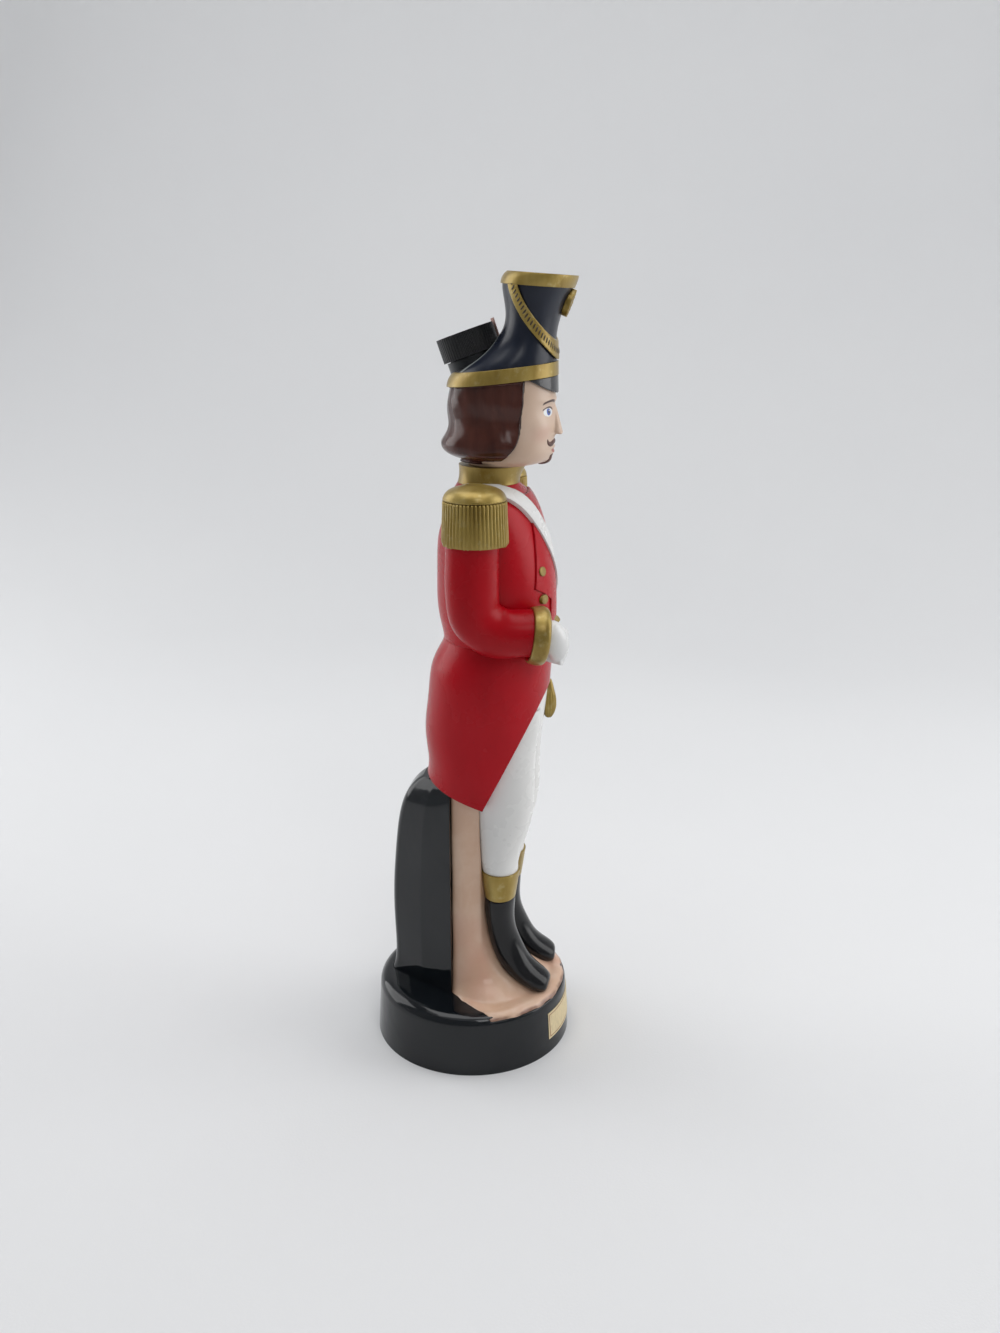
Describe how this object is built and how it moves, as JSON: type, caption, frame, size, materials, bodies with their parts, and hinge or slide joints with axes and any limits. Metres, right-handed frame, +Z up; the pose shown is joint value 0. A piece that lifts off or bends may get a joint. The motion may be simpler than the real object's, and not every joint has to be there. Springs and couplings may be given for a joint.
{
  "type": "figural liquor decanter",
  "caption": "Ceramic soldier figure decanter on a round base, hollow inside, with a ribbed screw cap hidden behind the tall flared hat.",
  "frame": {"origin": "middle of the round foot, on the surface it stands on", "axes": "+Z up, the soldier faces -Y, the soldier's right arm is on -X"},
  "size_m": [0.0944, 0.0942, 0.3569],
  "materials": {
    "black_glaze": "glossy black lead-free glaze over slip-cast ceramic",
    "ground_glaze": "pinkish tan glaze, softly mottled",
    "boot_glaze": "glossy black glaze",
    "breeches_glaze": "glossy off-white glaze",
    "coat_glaze": "glossy deep red glaze",
    "gold_paint": "antique gold fired paint with darker hollows",
    "belt_glaze": "glossy off-white glaze",
    "glove_glaze": "glossy off-white glaze",
    "skin_glaze": "satin flesh-coloured glaze with hand-painted features",
    "hair_glaze": "glossy brown glaze",
    "beard_glaze": "dark brown painted glaze",
    "hat_glaze": "satin navy black glaze",
    "visor_glaze": "glossy black glaze",
    "scabbard_glaze": "glossy black glaze with gold fittings",
    "cap_plastic": "black moulded plastic with fine upright ribs",
    "liner_board": "pale pulpboard wad",
    "label_paper": "aged gold paper, bare",
    "strip_paper": "torn off-white paper"
  },
  "bodies": {
    "decanter": {"base_plinth": "black_glaze", "stump": "black_glaze", "ground": "ground_glaze", "right_boot": "boot_glaze", "left_boot": "boot_glaze", "right_boot_cuff": "gold_paint", "left_boot_cuff": "gold_paint", "breeches": "breeches_glaze", "coat_tails": "coat_glaze", "coat_body": "coat_glaze", "coat_front": "coat_glaze", "shoulder_belt": "belt_glaze", "collar": "gold_paint", "coat_buttons": "gold_paint", "right_sleeve": "coat_glaze", "left_sleeve": "coat_glaze", "right_cuff": "gold_paint", "left_cuff": "gold_paint", "right_glove": "glove_glaze", "left_glove": "glove_glaze", "right_epaulette_fringe": "gold_paint", "left_epaulette_fringe": "gold_paint", "right_epaulette_pad": "gold_paint", "left_epaulette_pad": "gold_paint", "head": "skin_glaze", "hair": "hair_glaze", "moustache": "beard_glaze", "goatee": "beard_glaze", "shako": "hat_glaze", "shako_lower_band": "gold_paint", "shako_top_band": "gold_paint", "visor": "visor_glaze", "shako_braid": "gold_paint", "cockade": "gold_paint", "bottle_neck": "black_glaze", "tax_strip": "strip_paper", "front_label": "label_paper", "sword_hilt": "gold_paint", "scabbard": "scabbard_glaze", "sword_knot": "gold_paint"},
    "liner": {"cap_liner": "liner_board"},
    "cap": {"screw_cap": "cap_plastic"}
  },
  "joints": [
    {"name": "cap_lift", "type": "slide", "parent": "decanter", "child": "liner", "axis": [0, 0.3338, 0.9426], "range_m": [0, 0.0128]},
    {"name": "cap_turn", "type": "hinge", "parent": "liner", "child": "cap", "pos_m": [0, -0.0028, 0.32], "axis": [0, 0.3338, 0.9426], "range_deg": [0, 1440]}
  ],
  "couplings": [
    {"joint": "cap_lift", "follows": "cap_turn", "m_per_rad": 0.0005093}
  ]
}
